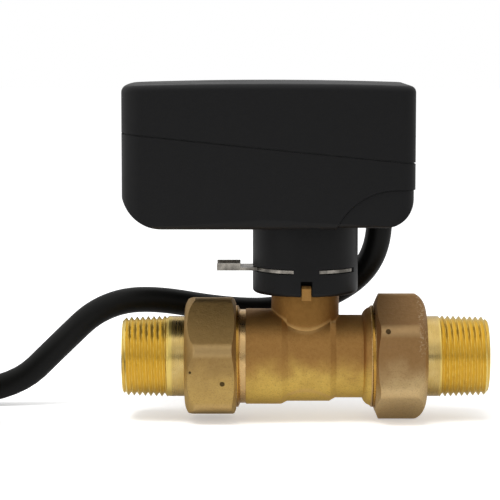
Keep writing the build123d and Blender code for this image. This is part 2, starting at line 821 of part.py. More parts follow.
def lever_angle(direction):
    """Degrees by which a lever leans away from the cam when the cam's high side points this way."""
    contact = cam_radius + cam_offset * cos(radians(direction))
    return degrees(asin((contact + lever_gap + lever_thickness / 2 - lever_hinge_x) / lever_arm))


def microswitch(low):
    """A switch block with two ears on its left and the hinge pin of its lever between them."""
    with BuildPart() as piece:
        with BuildSketch(Plane.XY.offset(low)):
            with Locations((switch_left + switch_width / 2, lever_hinge_y + 1 - switch_length / 2)):
                Rectangle(switch_width, switch_length)
        extrude(amount=switch_height)
        chamfer(piece.edges().filter_by(Axis.Z), 0.4)
        for height in (low, low + switch_height - 0.7):
            with BuildSketch(Plane.XY.offset(height)):
                with Locations((lever_hinge_x, lever_hinge_y)):
                    Circle(1.0)
                with Locations(((lever_hinge_x + switch_left) / 2 + 0.3, lever_hinge_y)):
                    Rectangle(switch_left - lever_hinge_x + 0.6, 2.0)
            extrude(amount=0.7)
        add(pins([(lever_hinge_x, lever_hinge_y)], lever_pin, low + 0.3, low + switch_height - 0.3))
        add(pins(switch_holes, 1.2, low - 1, low + switch_height + 1), mode=Mode.SUBTRACT)
    return piece


def switch_lever(direction, low):
    """A thin steel lever with a rolled eye, leaning as the cam holds it."""
    eye = Plane(origin=(lever_hinge_x, lever_hinge_y, low + 0.8)).rotated((0, 0, lever_angle(direction)))
    with BuildPart() as piece:
        with BuildSketch(eye):
            Circle(lever_pin + running + lever_thickness)
            with Locations((0, -lever_length / 2)):
                Rectangle(lever_thickness, lever_length)
            Circle(lever_pin + running, mode=Mode.SUBTRACT)
        extrude(amount=switch_height - 1.6)
    return piece


save(microswitch(switch_low), "microswitch_closed")
save(microswitch(switch_high), "microswitch_open")
save(switch_lever(135, switch_low), "switch_lever_closed")
save(switch_lever(-45, switch_high), "switch_lever_open")
print("lever angles", round(lever_angle(-45), 2), round(lever_angle(135), 2))

with BuildPart() as switch_screws:
    add(pins(switch_holes, 1.0, bearing_plate_foot, switch_high + switch_height + 0.1))
    add(pins(switch_holes, 2.0, switch_high + switch_height + 0.05, switch_high + switch_height + 1.4))
save(switch_screws, "switch_screws")

# Circuit board standing on the upper plate, held by two small angle brackets
board_holes = [(x, board_foot + 6.0) for x, _ in bracket_places]
board_plane = Plane.XZ.offset(-board_face)
with BuildPart() as circuit_board:
    with Locations((board_left + board_length / 2, board_face + board_thickness / 2, board_foot + board_height / 2)):
        Box(board_length, board_thickness, board_height)
    fillet(circuit_board.edges().filter_by(Axis.Y), 1.0)
    with BuildSketch(board_plane):
        with Locations(*board_holes):
            Circle(1.1)
    extrude(amount=-board_thickness, mode=Mode.SUBTRACT)
save(circuit_board, "circuit_board")

with BuildPart() as board_brackets:
    for x, y in bracket_places:
        with BuildSketch(Plane.YZ.offset(x - 2.5)):
            with BuildLine():
                Polyline(
                    (y - 1.8, bearing_plate_top), (board_face, bearing_plate_top), (board_face, board_foot + 8.5),
                    (board_face - 1, board_foot + 8.5), (board_face - 1, bearing_plate_top + 1),
                    (y - 1.8, bearing_plate_top + 1), (y - 1.8, bearing_plate_top),
                )
            make_face()
        extrude(amount=5.0)
    with BuildSketch(board_plane):
        with Locations(*board_holes):
            Circle(1.1)
    extrude(amount=2, mode=Mode.SUBTRACT)
    add(pins(bracket_places, 1.0, bearing_plate_foot, bearing_plate_top + 0.5))
save(board_brackets, "board_brackets")

with BuildPart() as board_screws:
    with BuildSketch(board_plane.offset(-board_thickness - 1.2)):
        with Locations(*board_holes):
            Circle(1.8)
    extrude(amount=1.2)
    with BuildSketch(board_plane.offset(-board_thickness - 0.1)):
        with Locations(*board_holes):
            Circle(1.0)
    extrude(amount=board_thickness + 2.2)
save(board_screws, "board_screws")

with BuildPart() as relay:
    with Locations((board_right - 43.6, board_face - 4.6, board_foot + 10.4)):
        Box(14.0, 9.2, 12.0)
    fillet(relay.edges().filter_by(Axis.Y), 0.8)
save(relay, "relay")

with BuildPart() as capacitor:
    with BuildSketch(board_plane):
        with Locations((board_right - 26.6, board_foot + 14.4)):
            Circle(4.0)
    extrude(amount=9.0)
    fillet(capacitor.edges().filter_by(GeomType.CIRCLE).sort_by(Axis.Y)[0], 0.6)
save(capacitor, "capacitor")

core_places = [
    (core_ring * cos(2 * pi * k / core_count), core_ring * sin(2 * pi * k / core_count)) for k in range(core_count)
]
wire_places = [(exit_x + x, exit_y + y) for x, y in core_places]
with BuildPart() as terminal_block:
    with Locations(((block_left + block_right) / 2, (block_front + board_face) / 2, (block_foot + block_top) / 2)):
        Box(block_right - block_left, board_face - block_front, block_top - block_foot)
    fillet(terminal_block.edges().filter_by(Axis.Z), 0.5)
    add(pins(wire_places, core_radius + slip / 2, block_foot - 1, block_foot + 3), mode=Mode.SUBTRACT)
save(terminal_block, "terminal_block")

# Cable cover: the lower right corner of the casing, with a rim that goes behind the casing's edge
cover_inner = cover_inset + cover_wall
with BuildPart() as cable_cover:
    add(casing_form(cover_inset))
    add(corner_form(-cover_gap), mode=Mode.INTERSECT)
    add(casing_form(cover_inner), mode=Mode.SUBTRACT)
    with BuildPart(mode=Mode.PRIVATE) as rim:
        add(casing_form(wall + slip))
        add(corner_form(rim_reach), mode=Mode.INTERSECT)
        add(corner_form(-rim_reach - 1), mode=Mode.SUBTRACT)
        add(casing_form(wall + slip + rim_wall), mode=Mode.SUBTRACT)
        add(pins([(0, 0)], 11.0, casing_bottom, casing_top), mode=Mode.SUBTRACT)
    add(rim.part)
    with BuildPart(mode=Mode.PRIVATE) as saddle_block:
        with Locations((exit_x + 5.1, exit_y, saddle_height)):
            Box(10, saddle_width, saddle_length)
        add(casing_form(cover_inset + 0.6), mode=Mode.INTERSECT)
    add(saddle_block.part)
    add(pins([(exit_x, exit_y)], cable_radius + running, saddle_height - 6, saddle_height + 6), mode=Mode.SUBTRACT)
    add(pins([(exit_x, exit_y)], grommet_radius + slip, casing_bottom - 1, grommet_top), mode=Mode.SUBTRACT)
    with BuildSketch(Plane.YZ.offset(exit_x)):
        with Locations((exit_y + clamp_screw_y, saddle_height)):
            Circle(1.1)
    extrude(amount=4.6, mode=Mode.SUBTRACT)
    with Locations((exit_x + 1.2, exit_y - clamp_tongue_y, saddle_height)):
        Box(2.8, 1.9, saddle_length + 1, mode=Mode.SUBTRACT)
save(cable_cover, "cable_cover")

# Grommet that follows the curve of the corner, with a flange inside
with BuildPart() as cable_grommet:
    with BuildPart(mode=Mode.PRIVATE) as plug:
        add(pins([(exit_x, exit_y)], grommet_radius, casing_bottom - 1, grommet_top - slip))
        add(casing_form(cover_inset), mode=Mode.INTERSECT)
        add(casing_form(cover_inner + 0.5), mode=Mode.SUBTRACT)
    with BuildPart(mode=Mode.PRIVATE) as flange:
        add(pins([(exit_x, exit_y)], grommet_radius + 1.4, casing_bottom - 1, grommet_top - slip))
        add(casing_form(cover_inner + slip), mode=Mode.INTERSECT)
        add(casing_form(cover_inner + slip + 1.2), mode=Mode.SUBTRACT)
    add(plug.part)
    add(flange.part)
    add(pins([(exit_x, exit_y)], cable_radius + running, casing_bottom - 2, casing_bottom + 9), mode=Mode.SUBTRACT)
save(cable_grommet, "cable_grommet")

# Bar that presses the cable into the saddle: a tongue on one side, a screw on the other
clamp_end = exit_y + clamp_screw_y + 2.1
with BuildPart() as cord_clamp:
    with Locations(((clamp_left + exit_x - 0.2) / 2, clamp_end - clamp_length / 2, saddle_height)):
        Box(exit_x - 0.2 - clamp_left, clamp_length, saddle_length - 1.5)
    with Locations((exit_x + 0.9, exit_y - clamp_tongue_y, saddle_height)):
        Box(2.8, 1.5, saddle_length - 1.5)
    add(pins([(exit_x, exit_y)], cable_radius + running, saddle_height - 6, saddle_height + 6), mode=Mode.SUBTRACT)
    with BuildSketch(Plane.YZ.offset(clamp_left - 1)):
        with Locations((exit_y + clamp_screw_y, saddle_height)):
            Circle(1.3)
    extrude(amount=8, mode=Mode.SUBTRACT)
save(cord_clamp, "cord_clamp")

with BuildPart() as clamp_screw:
    with BuildSketch(Plane.YZ.offset(clamp_left - 1.4)):
        with Locations((exit_y + clamp_screw_y, saddle_height)):
            Circle(2.0)
    extrude(amount=1.4)
    with BuildSketch(Plane.YZ.offset(clamp_left - 0.1)):
        with Locations((exit_y + clamp_screw_y, saddle_height)):
            Circle(1.05)
    extrude(amount=exit_x + 4.4 - clamp_left)
save(clamp_screw, "clamp_screw")

# The cable's jacket inside the casing, and its wires up to the terminal block
with BuildPart() as cable_lead_in:
    add(pins([(exit_x, exit_y)], cable_radius, casing_bottom, jacket_end))
save(cable_lead_in, "cable_lead_in")

with BuildPart() as lead_wires:
    add(pins(wire_places, core_radius, jacket_end, block_foot + 2.8))
save(lead_wires, "lead_wires")

# Spring steel clip: a slotted plate with a folded pull tab
with BuildPart() as retaining_clip:
    clip_foot = clip_height - clip_thickness / 2
    with BuildSketch(Plane.XY.offset(clip_foot)):
        Circle(clip_radius)
        Rectangle(2 * clip_radius, 2 * clip_half, mode=Mode.INTERSECT)
        with Locations((-(clip_tab + 10) / 2, 0)):
            Rectangle(clip_tab - 10, clip_tab_width)
        with Locations((clip_radius, 0)):
            Rectangle(2 * clip_radius, 2 * (groove_radius + loose), mode=Mode.SUBTRACT)
        Circle(groove_radius + loose, mode=Mode.SUBTRACT)
    extrude(amount=clip_thickness)
    for side in (-1, 1):
        with Locations((-clip_tab + clip_fold_length / 2, side * (clip_tab_width - 1) / 2, clip_foot + clip_fold / 2)):
            Box(clip_fold_length, 1.0, clip_fold)
save(retaining_clip, "retaining_clip")


# Cable: the free run from the grommet, past the valve and down to the ground
route = [
    (exit_x, exit_y, casing_bottom), (exit_x, exit_y, 34.8), (14.6, 19.4, 21.2), (-1.2, 25.8, 16.2),
    (-29.5, 25.4, 14.5), (-68.0, 20.0, 16.7), (-98.1, coil_back, cable_lay),
    (coil_x + 2 * cable_radius, coil_back, cable_lay),
]
bends = []
for k in range(1, len(route) - 1):
    before = Vector(*route[k - 1]) - Vector(*route[k])
    after = Vector(*route[k + 1]) - Vector(*route[k])
    turn = 180 - before.get_angle(after)
    shorter = min(before.length * (2 if k == 1 else 1), after.length)
    bends.append(0.45 * shorter / tan(radians(turn / 2)))
print("bend radii", [round(r, 1) for r in bends])
with BuildPart() as cable_run:
    with BuildLine() as run_path:
        FilletPolyline(*route, radius=bends)
    with BuildSketch(Plane(origin=route[0], x_dir=(1, 0, 0), z_dir=(0, 0, -1))):
        Circle(cable_radius)
    run_wire = run_path.wires()[0]
    sweep(path=run_wire)
run_length = run_wire.length
print("run length", round(run_length, 1), "volume share", round(cable_run.part.volume / run_length / pi / cable_radius**2, 4))
save(cable_run, "cable_run")


def coil_node(turn, level):
    """Place and direction on the coil after some turns: in on the ground, up, out on top, and up once more."""
    if turn <= turns_in:
        radius, height, slope, climb = coil_outer - coil_pitch * turn, 0, -coil_pitch, 0
    elif turn < turns_in + turns_climb:
        t = (turn - turns_in) / turns_climb
        radius = coil_outer - coil_pitch * (turns_in + (t - t**2) * turns_climb)
        slope = -coil_pitch * (1 - 2 * t)
        height = coil_rise * (3 * t**2 - 2 * t**3)
        climb = coil_rise * 6 * (t - t**2) / turns_climb
    elif turn <= 2 * turns_in + turns_climb:
        radius = coil_outer - coil_pitch * (2 * turns_in + turns_climb - turn)
        height, slope, climb = coil_rise, coil_pitch, 0
    else:
        t = (turn - 2 * turns_in - turns_climb) / turns_over
        radius = coil_outer + coil_pitch * (t - t**2) * turns_over
        slope = coil_pitch * (1 - 2 * t)
        height = coil_rise * (1 + 3 * t**2 - 2 * t**3)
        climb = coil_rise * 6 * (t - t**2) / turns_over
    if level:
        slope = 0
    angle = pi / 2 + 2 * pi * turn
    place = Vector(coil_x + radius * cos(angle), coil_y + radius * sin(angle), cable_lay + height)
    heading = Vector(
        slope * cos(angle) - 2 * pi * radius * sin(angle), slope * sin(angle) + 2 * pi * radius * cos(angle), climb
    )
    return place, heading.normalized()


# Cable: the rest of its length in a coil of two layers and a half turn on top, with a bare end
turns = 2 * turns_in + turns_climb + turns_over
quarter_turns = round(4 * turns)
nodes = [coil_node(k / 4, k in (0, quarter_turns)) for k in range(quarter_turns + 1)]
coil_end = nodes[-1][0] + nodes[-1][1] * 2 * cable_radius
with BuildPart() as cable_coil:
    with BuildLine() as coil_path:
        Line(route[-1], nodes[0][0])
        for (start, heading), (end, bearing) in zip(nodes, nodes[1:]):
            chord = end - start
            both = heading + bearing
            along = both.dot(chord)
            spare = both.dot(both) - 4
            reach = (along - sqrt(along**2 - spare * chord.dot(chord))) / spare
            first, last = start + heading * reach, end - bearing * reach
            joint = (first + last) * 0.5
            TangentArc(start, joint, tangent=heading)
            TangentArc(joint, end, tangent=last - first)
        Line(nodes[-1][0], coil_end)
    with BuildSketch(Plane(origin=route[-1], x_dir=(0, 1, 0), z_dir=(-1, 0, 0))):
        Circle(cable_radius)
    coil_wire = coil_path.wires()[0]
    sweep(path=coil_wire)
coil_length = coil_wire.length
samples = [coil_wire @ (k / 400) for k in range(401)]
apart = round(20 * cable_radius / coil_length * 400)
gap = min((samples[i] - samples[j]).length for i in range(401) for j in range(i + apart, 401)) - 2 * cable_radius
print("coil length", round(coil_length, 1), "least gap", round(gap, 2), "whole cable", round(run_length + coil_length))
print("volume share", round(cable_coil.part.volume / coil_length / pi / cable_radius**2, 4))
save(cable_coil, "cable_coil")

# Bare end: the wires and their crimped ferrules
end_plane = Plane(origin=coil_end, x_dir=(1, 0, 0), z_dir=nodes[-1][1])
with BuildPart() as cable_cores:
    with BuildSketch(end_plane):
        with Locations(*core_places):
            Circle(core_radius)
    extrude(amount=core_length)
save(cable_cores, "cable_cores")

with BuildPart() as core_ferrules:
    with BuildSketch(end_plane.offset(core_length - ferrule_length)):
        with Locations(*core_places):
            Circle(core_radius + 0.35)
        with Locations(*core_places):
            Circle(core_radius + 0.02, mode=Mode.SUBTRACT)
    extrude(amount=ferrule_length)
save(core_ferrules, "core_ferrules")
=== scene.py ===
# %% [markdown]
# # A motorized zone valve, dressed for its picture
# The solids of the valve come packed in a fixed frame: body, nuts, tails, casing, gears, board and cable.
# This script adds what a solid model doesn't hold: the wound pipe threads, the cable as one smooth line,
# and the finish of every surface. Each lesson says what a thing is, how it could be made, and why this way.

# %% Frame, and the box that everything stays in
import math

import bmesh
import bpy
import numpy as np
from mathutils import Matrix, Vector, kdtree


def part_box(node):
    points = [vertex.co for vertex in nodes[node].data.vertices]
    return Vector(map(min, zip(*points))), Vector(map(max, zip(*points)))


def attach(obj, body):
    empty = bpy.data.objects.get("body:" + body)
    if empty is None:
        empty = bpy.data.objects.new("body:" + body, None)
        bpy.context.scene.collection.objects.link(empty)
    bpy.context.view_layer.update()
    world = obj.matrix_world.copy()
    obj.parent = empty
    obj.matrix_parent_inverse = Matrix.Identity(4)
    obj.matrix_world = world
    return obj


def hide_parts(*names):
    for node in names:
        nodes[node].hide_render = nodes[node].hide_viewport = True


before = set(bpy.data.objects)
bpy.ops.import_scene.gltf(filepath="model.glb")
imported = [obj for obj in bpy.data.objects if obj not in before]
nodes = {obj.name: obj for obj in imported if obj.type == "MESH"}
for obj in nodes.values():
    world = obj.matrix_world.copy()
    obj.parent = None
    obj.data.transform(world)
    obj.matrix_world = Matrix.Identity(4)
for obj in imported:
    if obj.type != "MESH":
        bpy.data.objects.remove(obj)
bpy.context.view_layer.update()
MM = 0.001  # Blender's unit is the metre
ROOT = "valve_and_casing"  # the body that carries every piece without a joint of its own

# %% [markdown]
# ## Node trees written like sums
# Materials and threads are both node trees. Placing nodes by hand takes three lines for each sum, so one
# small class wraps a socket and another wraps a tree. Then `a * 2 + b` builds the Math nodes by itself.
# Everything that isn't plain arithmetic goes through one method that sets a node up and links it.


# %% Sockets and trees
class Socket:
    """One output in a node tree, which adds and multiplies like a number."""

    def __init__(self, tree, out):
        self.tree, self.out = tree, out

    def __add__(self, other):
        return self.tree.maths("ADD", self, other)

    def __sub__(self, other):
        return self.tree.maths("SUBTRACT", self, other)

    def __rsub__(self, other):
        return self.tree.maths("SUBTRACT", other, self)

    def __mul__(self, other):
        return self.tree.maths("MULTIPLY", self, other)

    def __truediv__(self, other):
        return self.tree.maths("DIVIDE", self, other)

    __radd__, __rmul__ = __add__, __mul__


class Tree:
    """A node tree and the one call that adds nodes to it."""

    def __init__(self, tree):
        self.tree = tree

    def node(self, kind, settings=None, inputs=None, out=0):
        """Add a node: its settings first, then a value or a link for each of its sockets."""
        made = self.tree.nodes.new(kind)
        for key, value in (settings or {}).items():
            setattr(made, key, value)
        for key, value in (inputs or {}).items():
            if isinstance(value, Socket):
                self.tree.links.new(value.out, made.inputs[key])
            else:
                made.inputs[key].default_value = value
        return Socket(self, made.outputs[out]) if made.outputs else made

    def maths(self, kind, *values):
        return self.node("ShaderNodeMath", {"operation": kind}, dict(enumerate(values)))

    def length(self, a, b):
        """The distance from the axis that a and b are measured from."""
        return self.maths("SQRT", a * a + b * b)

    def split(self, vector):
        """The three parts of a vector."""
        first = self.node("ShaderNodeSeparateXYZ", inputs={0: vector})
        return [first] + [Socket(self, first.out.node.outputs[k]) for k in (1, 2)]

    def ease(self, value, low, high, start=0.0, end=1.0):
        """From start to end as value goes from low to high, with soft ends."""
        sockets = dict(enumerate((value, low, high, start, end)))
        return self.node("ShaderNodeMapRange", {"interpolation_type": "SMOOTHSTEP"}, sockets)

    def near(self, value, middle, far, close):
        """One where value is within close of the middle, and nothing past far."""
        return self.ease(self.maths("ABSOLUTE", value - middle), far, close)


# %% [markdown]
# ## A material in millimetres
# Sizes on the real valve are millimetres, so a pattern is easier to set when its numbers are too. One more
# class opens a material, scales the object's coordinates once, and has a method for each thing that a
# finish needs: noise, a mix of two colours, a spot, a bump and the last shader.


# %% Paint
class Paint(Tree):
    """A material: object coordinates in millimetres, noises, mixes and one finishing shader."""

    def __init__(self, name):
        self.material = bpy.data.materials.new(name)
        self.material.use_nodes = True
        super().__init__(self.material.node_tree)
        self.tree.nodes.clear()
        place = self.node("ShaderNodeTexCoord", out="Object")
        self.place = self.node("ShaderNodeVectorMath", {"operation": "SCALE"}, {0: place, "Scale": 1 / MM})
        self.x, self.y, self.z = self.split(self.place)

    def noise(self, size, detail=2.0, rough=0.5, stretch=(1, 1, 1)):
        """Noise with features of a size in millimetres."""
        where = self.node("ShaderNodeVectorMath", {"operation": "MULTIPLY"}, {0: self.place, 1: stretch})
        sockets = {"Vector": where, "Scale": 1 / size, "Detail": detail, "Roughness": rough}
        return self.node("ShaderNodeTexNoise", inputs=sockets)

    def mix(self, a, b, factor):
        """A colour between a and b."""
        a, b = [(*c, 1.0) if isinstance(c, tuple) else c for c in (a, b)]
        return self.node(
            "ShaderNodeMix", {"data_type": "RGBA", "clamp_factor": True}, {0: factor, 6: a, 7: b}, out=2
        )

    def beyond(self, left, right, fade=0.2):
        """One on both ends of a piece, past a place on the left and one on the right."""
        return self.maths(
            "MAXIMUM", self.ease(self.x, left, left - fade), self.ease(self.x, right, right + fade)
        )

    def spot(self, x, z, size):
        """One inside a round spot on the side that faces the picture, and nothing outside."""
        far = ((self.x - x) * (self.x - x) + (self.z - z) * (self.z - z)) / (size * size)
        return self.ease(far, 1.0, 0.5) * self.ease(self.y, 0.0, -2.0)

    def bump(self, height, depth):
        """A normal from a height in 0 to 1 and a depth in millimetres."""
        return self.node("ShaderNodeBump", inputs={"Height": height, "Distance": depth * MM, "Strength": 1.0})

    def finish(self, **values):
        """The last shader. Names of sockets are given with low lines for spaces."""
        inputs = {key.replace("_", " "): value for key, value in values.items()}
        shader = self.node("ShaderNodeBsdfPrincipled", inputs=inputs)
        self.node("ShaderNodeOutputMaterial", inputs={"Surface": shader})
        return self.material


# %% [markdown]
# ## Sand-cast brass
# The body and the union nuts are cast in sand, then tumbled: a dull brown-gold skin with fine grain, slow
# stains and a few blow holes. A photo texture would repeat and carry its own light. Three noises of
# different sizes do it instead: a slow one shifts the line between the browner top and the yellower
# underside, a middle one dimples the skin, and a fine one breaks up the shine. The browner top is painted
# shade from the dark casing above, the yellower underside a painted reflection of the bright floor, and
# the dark inside each blow hole is painted shade.


# %% Cast brass
def cast_brass(name, warm, cool, shade, grain, pits=(), extra=None):
    """Cast skin: painted shade on top, painted floor reflection below, front blow holes in painted shade."""
    paint = Paint(name)
    slow = paint.noise(size=7.0, detail=3.0)
    middle = paint.noise(size=1.3, detail=3.0, rough=0.6)
    fine = paint.noise(size=0.42, detail=2.0, rough=0.7)
    # painted shade on top from the casing, and a painted reflection of the floor lower down
    low = paint.ease(paint.z + slow * 12.0, 9.0, -5.0)
    colour = paint.mix(paint.mix(warm, cool, low), shade, paint.ease(fine, 0.5, 0.72) * grain)
    height = middle * 0.7 + fine * 0.3
    rough = paint.ease(middle, 0.3, 0.7, 0.5, 0.62)
    if extra:
        colour, rough, height = extra(paint, colour, rough, height)
    for x, z, size in pits:
        hole = paint.spot(x, z, size)
        # painted shade inside each blow hole
        colour = paint.mix(colour, (0.03, 0.018, 0.008), hole * 0.85)
        height = height - hole * 2.0
    return paint.finish(Base_Color=colour, Metallic=1.0, Roughness=rough, Normal=paint.bump(height, 0.15))


# %% [markdown]
# ## What the lathe leaves, with painted highlights and shade
# The ends of the casting are turned bright for the nuts' thread; its groove is darker, in painted shade.
# The boss is darker with painted shade under the casing. Where two rounds meet, and on the nuts' corners,
# there is a painted highlight, with a little wear on the corners. Each of these is a mask worked out
# from the piece's own sizes, so it sits on the form and not just near it.

# %% Details of the body
BOSS, BARREL, WAIST, SLIM = 11.0, 15.6, 14.65, 13.55  # the casting's radii in millimetres
NUT_THREAD_PITCH = 2.309


def body_details(paint, colour, rough, height):
    """Turned ends with a thread, painted shade in its groove and on the boss, a painted seam highlight."""
    turned = paint.beyond(-19.3, 21.0)
    threaded = paint.beyond(-21.1, 21.2)
    angle = paint.maths("ARCTAN2", paint.z, paint.y) / (2 * math.pi)
    phase = paint.maths("FRACT", paint.x / NUT_THREAD_PITCH - angle)
    crest = paint.ease(paint.maths("ABSOLUTE", phase - 0.5), 0.18, 0.34) * threaded
    # the darker colour in the thread's groove is painted shade
    bright = paint.mix((0.7, 0.46, 0.2), (0.55, 0.3, 0.06), crest)
    # painted shade on the boss, under the casing
    boss_shade = paint.ease(paint.x * paint.x + paint.y * paint.y, 150.0, 128.0) * paint.ease(paint.z, 9.0, 13.0)
    colour = paint.mix(colour, (0.27, 0.135, 0.035), boss_shade * 0.8)
    # painted highlight along the seam where the boss meets the pipe
    pipe = (
        BARREL - paint.ease(paint.x, -6.3, -5.9) * (BARREL - WAIST)
        - paint.ease(paint.x, 7.9, 8.6) * (WAIST - SLIM)
    )
    on_boss = paint.near(paint.length(paint.x, paint.y), BOSS, 1.1, 0.1)
    on_pipe = paint.near(paint.length(paint.y, paint.z), pipe, 1.1, 0.1)
    colour = paint.mix(colour, (0.75, 0.5, 0.2), on_boss * on_pipe * 0.45)
    colour = paint.mix(colour, bright, turned)
    return colour, rough - turned * 0.25, height * (1.0 - turned * 0.9) - crest * 5.0


# %% Details of the nuts
def nut_details(paint, colour, rough, height):
    """Six round corners in a painted highlight with some wear, and the right nut's scuffed shoulder."""
    # painted highlight on the six corners, and a little less roughness there for wear
    worn = paint.ease(paint.length(paint.y, paint.z), 20.0, 20.55)
    colour = paint.mix(colour, (0.8, 0.58, 0.3), worn * 0.25)
    scratches = paint.ease(paint.noise(size=0.8, rough=0.6), 0.5, 0.62)
    scuffed = paint.ease(paint.x, 35.6, 36.4) * paint.ease(paint.z, 0.0, 6.0) * scratches
    colour = paint.mix(colour, (0.75, 0.6, 0.4), scuffed * 0.35)
    return colour, rough - worn * 0.06, height


# %% The three castings
body_paint = cast_brass(
    "cast_body", warm=(0.43, 0.23, 0.07), cool=(0.8, 0.57, 0.145), shade=(0.28, 0.145, 0.045), grain=0.4,
    extra=body_details,
)
nut_paint_left = cast_brass(
    "cast_nut_left", warm=(0.39, 0.25, 0.092), cool=(0.6, 0.41, 0.14), shade=(0.3, 0.18, 0.08), grain=0.5,
    pits=((-26.9, -6.5, 0.9), (-37.2, -2.6, 0.5)), extra=nut_details,
)
nut_paint_right = cast_brass(
    "cast_nut_right", warm=(0.35, 0.2, 0.08), cool=(0.68, 0.5, 0.25), shade=(0.3, 0.17, 0.08), grain=0.5,
    pits=((26.1, 10.5, 0.9),), extra=nut_details,
)
print("cast finishes", body_paint.name, nut_paint_left.name, nut_paint_right.name)

# %% [markdown]
# ## Turned brass
# The tails come from bar on a lathe. The tool leaves fine rings across the axis, so the shine is stretched
# along the rings. Noise squeezed hard along X gives rings that wander a little, as real feed marks do.
# The threads are cut last and keep the fresh yellow, while the shank beside them has dulled.

# %% Turned metals
THREADS_BEGIN = 42.8  # millimetres from the middle of the valve


def turned_metal(name, colour, other, rough, rings=0.02, size=0.25, thread=None):
    """Metal with fine rings round X, stained from one colour to another, and a colour for its threads."""
    paint = Paint(name)
    feed = paint.noise(size=size, stretch=(1, 0.02, 0.02))
    stain = paint.noise(size=5.0, detail=3.0)
    colour = paint.mix(colour, other, paint.ease(stain, 0.35, 0.7))
    dull = paint.ease(feed, 0.3, 0.7, rough - 0.05, rough + 0.05)
    if thread:
        wound = paint.beyond(-THREADS_BEGIN, THREADS_BEGIN, fade=1.0)
        colour = paint.mix(colour, thread, wound)
        dull = dull + wound * 0.07
    return paint.finish(Base_Color=colour, Metallic=1.0, Roughness=dull, Normal=paint.bump(feed, rings))


tail_paint = turned_metal(
    "turned_tail", colour=(0.62, 0.43, 0.14), other=(0.7, 0.51, 0.2), rough=0.27, thread=(0.88, 0.66, 0.19)
)
print("turned finish", tail_paint.name)

# %% [markdown]
# ## Moulded plastic
# Injection moulds for housings are spark-eroded to a satin grain that hides fingerprints. It is a tiny
# cell pattern, far finer than a pixel here, so what the eye gets is a soft sheen that drifts slightly.


# %% Plastics and rubber
def moulded(name, colour, rough=0.45, grain=0.25, depth=0.02, tint=0.15, shine=0.5):
    """Plastic with a cell grain in millimetres, drifting to a darker tint of its colour."""
    paint = Paint(name)
    cells = paint.node("ShaderNodeTexVoronoi", inputs={"Vector": paint.place, "Scale": 1 / grain})
    drift = paint.noise(size=14.0)
    darker = tuple(c * (1 - tint) for c in colour)
    return paint.finish(
        Base_Color=paint.mix(colour, darker, drift), Normal=paint.bump(cells, depth),
        Roughness=paint.ease(drift, 0.3, 0.7, rough - 0.04, rough + 0.04), Specular_IOR_Level=shine,
    )


casing_paint = moulded("moulded_casing", (0.0045, 0.0045, 0.0048), rough=0.46, shine=0.2)
jacket_paint = moulded(
    "cable_jacket_satin", (0.0045, 0.0045, 0.004), rough=0.45, grain=0.5, depth=0.015, shine=0.15
)
print("moulded finishes", casing_paint.name, jacket_paint.name)

# %% [markdown]
# ## Spring steel and the pieces inside
# The clip is blanked from strip that was rolled lengthwise: faint lines along the strip and a grey,
# slightly warm shine. It lies between dark plastic, so it shows mostly what it mirrors. The steel, the
# plastics and the rubber inside the casing are the same two finishes with other numbers.

# %% Steel, chrome and the small inside finishes
clip_paint = turned_metal(
    "clip_strip", (0.14, 0.13, 0.115), (0.52, 0.48, 0.42), rough=0.3, rings=0.002, size=0.4
)
steel_paint = turned_metal("plated_steel", (0.6, 0.6, 0.61), (0.66, 0.66, 0.68), rough=0.3)
chrome_paint = turned_metal("chromed_ball", (0.8, 0.8, 0.82), (0.83, 0.83, 0.85), rough=0.1, rings=0.002)
can_paint = turned_metal("motor_can_satin", (0.62, 0.62, 0.63), (0.68, 0.68, 0.7), rough=0.38)
tin_paint = turned_metal("tinned_ferrule", (0.7, 0.7, 0.69), (0.76, 0.76, 0.76), rough=0.3)
spindle_paint = turned_metal("turned_spindle", (0.7, 0.48, 0.18), (0.74, 0.53, 0.22), rough=0.3)
FINISHES = {
    "cast_brass": body_paint,
    "nut_brass": nut_paint_left,
    "turned_brass": spindle_paint,
    "ball_chrome": chrome_paint,
    "black_plastic": casing_paint,
    "spring_steel": clip_paint,
    "steel": steel_paint,
    "motor_can": can_paint,
    "ferrule_tin": tin_paint,
    "cable_jacket": jacket_paint,
    "white_seal": moulded("sintered_seal", (0.85, 0.85, 0.82), rough=0.5, grain=0.3, depth=0.01, tint=0.05),
    "black_rubber": moulded("moulded_rubber", (0.015, 0.015, 0.015), rough=0.7, grain=0.4, depth=0.03),
    "gear_plastic": moulded("acetal_gear", (0.8, 0.77, 0.68), rough=0.4, grain=0.3, depth=0.01, tint=0.05),
    "cam_plastic": moulded("moulded_cam", (0.6, 0.13, 0.04)),
    "switch_plastic": moulded("moulded_switch", (0.03, 0.03, 0.035), rough=0.5),
    "terminal_green": moulded("moulded_terminal", (0.06, 0.35, 0.1)),
    "relay_blue": moulded("moulded_relay", (0.03, 0.13, 0.42), rough=0.35),
    "capacitor_sleeve": moulded("shrunk_sleeve", (0.03, 0.035, 0.1), rough=0.2),
    "wire_insulation": moulded("wire_sleeve", (0.28, 0.12, 0.05), rough=0.4),
}
print("finishes", len(FINISHES))

# %% [markdown]
# ## Solder mask
# A circuit board is green lacquer over copper tracks. The tracks stand up a little and look lighter, so a
# brick pattern laid in the board's plane is enough to say what it is.


